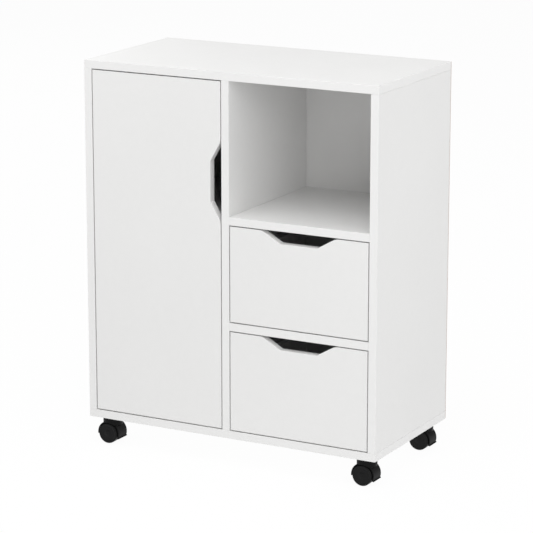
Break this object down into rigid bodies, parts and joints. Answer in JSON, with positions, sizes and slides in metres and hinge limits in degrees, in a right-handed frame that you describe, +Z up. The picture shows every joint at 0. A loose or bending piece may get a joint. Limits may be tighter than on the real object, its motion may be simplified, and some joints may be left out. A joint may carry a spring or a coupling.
{
  "type": "rolling pedestal cabinet",
  "caption": "White melamine rolling cabinet with an inset door, an open cubby, inset drawers with finger notches and twin-wheel swivel casters.",
  "frame": {"origin": "on the floor, under the centre of the cabinet's box", "axes": "+X to the right seen from the front, the door and drawers face -Y, +Z up"},
  "size_m": [0.59, 0.3, 0.723],
  "materials": {
    "white_melamine": "matt white melamine on particle board",
    "white_backing": "matt white lacquered hardboard",
    "zinc_steel": "bright zinc plate",
    "dull_zinc": "die-cast zinc",
    "white_rail": "white powder coat",
    "white_nylon": "moulded white nylon",
    "beech": "fluted beech",
    "magnet_grey": "dark ferrite",
    "black_plate": "black coated steel",
    "black_nylon": "satin moulded black nylon",
    "black_wheel": "matt moulded black nylon"
  },
  "bodies": {
    "cabinet": {"top_panel": "white_melamine", "bottom_panel": "white_melamine", "left_side_panel": "white_melamine", "right_side_panel": "white_melamine", "centre_partition": "white_melamine", "cubby_shelf": "white_melamine", "drawer_divider": "white_melamine", "inner_shelf": "white_melamine", "back_panel": "white_backing", "back_panel_nails": "zinc_steel", "shelf_pins": "zinc_steel", "cam_locks": "dull_zinc", "cam_bolts": "zinc_steel", "dowels": "beech", "hinge_arms": "zinc_steel", "mounting_screws": "zinc_steel", "catch_housing": "white_nylon", "catch_magnet": "magnet_grey", "cabinet_rails": "white_rail", "caster_plates": "black_plate", "kingpins": "zinc_steel"},
    "door": {"door_panel": "white_melamine", "hinge_cups": "dull_zinc", "hinge_pins": "zinc_steel", "door_screws": "zinc_steel", "strike_plate": "zinc_steel"},
    "upper_drawer": {"upper_drawer_front": "white_melamine", "upper_drawer_left_side": "white_melamine", "upper_drawer_right_side": "white_melamine", "upper_drawer_back": "white_melamine", "upper_drawer_bottom": "white_backing", "upper_drawer_fittings": "zinc_steel", "upper_drawer_runners": "white_rail"},
    "upper_drawer_front_rollers": {"upper_drawer_front_rollers": "white_nylon"},
    "upper_drawer_rear_rollers": {"upper_drawer_rear_rollers": "white_nylon"},
    "lower_drawer": {"lower_drawer_front": "white_melamine", "lower_drawer_left_side": "white_melamine", "lower_drawer_right_side": "white_melamine", "lower_drawer_back": "white_melamine", "lower_drawer_bottom": "white_backing", "lower_drawer_fittings": "zinc_steel", "lower_drawer_runners": "white_rail"},
    "lower_drawer_front_rollers": {"lower_drawer_front_rollers": "white_nylon"},
    "lower_drawer_rear_rollers": {"lower_drawer_rear_rollers": "white_nylon"},
    "front_left_caster": {"front_left_caster_hood": "black_nylon", "front_left_caster_axle": "zinc_steel"},
    "front_left_caster_outer_wheel": {"front_left_caster_outer_wheel": "black_wheel"},
    "front_left_caster_inner_wheel": {"front_left_caster_inner_wheel": "black_wheel"},
    "front_right_caster": {"front_right_caster_hood": "black_nylon", "front_right_caster_axle": "zinc_steel"},
    "front_right_caster_outer_wheel": {"front_right_caster_outer_wheel": "black_wheel"},
    "front_right_caster_inner_wheel": {"front_right_caster_inner_wheel": "black_wheel"},
    "rear_left_caster": {"rear_left_caster_hood": "black_nylon", "rear_left_caster_axle": "zinc_steel"},
    "rear_left_caster_outer_wheel": {"rear_left_caster_outer_wheel": "black_wheel"},
    "rear_left_caster_inner_wheel": {"rear_left_caster_inner_wheel": "black_wheel"},
    "rear_right_caster": {"rear_right_caster_hood": "black_nylon", "rear_right_caster_axle": "zinc_steel"},
    "rear_right_caster_outer_wheel": {"rear_right_caster_outer_wheel": "black_wheel"},
    "rear_right_caster_inner_wheel": {"rear_right_caster_inner_wheel": "black_wheel"}
  },
  "joints": [
    {"name": "door_hinge", "type": "hinge", "parent": "cabinet", "child": "door", "pos_m": [-0.269, -0.144, 0.388], "axis": [0, 0, -1], "range_deg": [0, 90]},
    {"name": "upper_drawer_slide", "type": "slide", "parent": "cabinet", "child": "upper_drawer", "axis": [0, -1, 0], "range_m": [0, 0.185]},
    {"name": "upper_drawer_front_rollers_turn", "type": "hinge", "parent": "cabinet", "child": "upper_drawer_front_rollers", "pos_m": [0.14125, -0.121, 0.2917], "axis": [1, 0, 0], "continuous": true},
    {"name": "upper_drawer_rear_rollers_turn", "type": "hinge", "parent": "upper_drawer", "child": "upper_drawer_rear_rollers", "pos_m": [0.14125, 0.103, 0.2914], "axis": [1, 0, 0], "continuous": true},
    {"name": "lower_drawer_slide", "type": "slide", "parent": "cabinet", "child": "lower_drawer", "axis": [0, -1, 0], "range_m": [0, 0.185]},
    {"name": "lower_drawer_front_rollers_turn", "type": "hinge", "parent": "cabinet", "child": "lower_drawer_front_rollers", "pos_m": [0.14125, -0.121, 0.0897], "axis": [1, 0, 0], "continuous": true},
    {"name": "lower_drawer_rear_rollers_turn", "type": "hinge", "parent": "lower_drawer", "child": "lower_drawer_rear_rollers", "pos_m": [0.14125, 0.103, 0.0894], "axis": [1, 0, 0], "continuous": true},
    {"name": "front_left_caster_swivel", "type": "hinge", "parent": "cabinet", "child": "front_left_caster", "pos_m": [-0.264, -0.118, 0.0504], "axis": [0, 0, 1], "continuous": true},
    {"name": "front_left_caster_outer_wheel_roll", "type": "hinge", "parent": "front_left_caster", "child": "front_left_caster_outer_wheel", "pos_m": [-0.266, -0.118, 0.019], "axis": [0, 1, 0], "continuous": true},
    {"name": "front_left_caster_inner_wheel_roll", "type": "hinge", "parent": "front_left_caster", "child": "front_left_caster_inner_wheel", "pos_m": [-0.266, -0.118, 0.019], "axis": [0, 1, 0], "continuous": true},
    {"name": "front_right_caster_swivel", "type": "hinge", "parent": "cabinet", "child": "front_right_caster", "pos_m": [0.264, -0.118, 0.0504], "axis": [0, 0, 1], "continuous": true},
    {"name": "front_right_caster_outer_wheel_roll", "type": "hinge", "parent": "front_right_caster", "child": "front_right_caster_outer_wheel", "pos_m": [0.262, -0.118, 0.019], "axis": [0, 1, 0], "continuous": true},
    {"name": "front_right_caster_inner_wheel_roll", "type": "hinge", "parent": "front_right_caster", "child": "front_right_caster_inner_wheel", "pos_m": [0.262, -0.118, 0.019], "axis": [0, 1, 0], "continuous": true},
    {"name": "rear_left_caster_swivel", "type": "hinge", "parent": "cabinet", "child": "rear_left_caster", "pos_m": [-0.264, 0.118, 0.0504], "axis": [0, 0, 1], "continuous": true},
    {"name": "rear_left_caster_outer_wheel_roll", "type": "hinge", "parent": "rear_left_caster", "child": "rear_left_caster_outer_wheel", "pos_m": [-0.266, 0.118, 0.019], "axis": [0, 1, 0], "continuous": true},
    {"name": "rear_left_caster_inner_wheel_roll", "type": "hinge", "parent": "rear_left_caster", "child": "rear_left_caster_inner_wheel", "pos_m": [-0.266, 0.118, 0.019], "axis": [0, 1, 0], "continuous": true},
    {"name": "rear_right_caster_swivel", "type": "hinge", "parent": "cabinet", "child": "rear_right_caster", "pos_m": [0.264, 0.118, 0.0504], "axis": [0, 0, 1], "continuous": true},
    {"name": "rear_right_caster_outer_wheel_roll", "type": "hinge", "parent": "rear_right_caster", "child": "rear_right_caster_outer_wheel", "pos_m": [0.262, 0.118, 0.019], "axis": [0, 1, 0], "continuous": true},
    {"name": "rear_right_caster_inner_wheel_roll", "type": "hinge", "parent": "rear_right_caster", "child": "rear_right_caster_inner_wheel", "pos_m": [0.262, 0.118, 0.019], "axis": [0, 1, 0], "continuous": true}
  ],
  "couplings": [
    {"joint": "upper_drawer_front_rollers_turn", "follows": "upper_drawer_slide", "rad_per_m": 100},
    {"joint": "upper_drawer_rear_rollers_turn", "follows": "upper_drawer_slide", "rad_per_m": 100},
    {"joint": "lower_drawer_front_rollers_turn", "follows": "lower_drawer_slide", "rad_per_m": 100},
    {"joint": "lower_drawer_rear_rollers_turn", "follows": "lower_drawer_slide", "rad_per_m": 100}
  ]
}
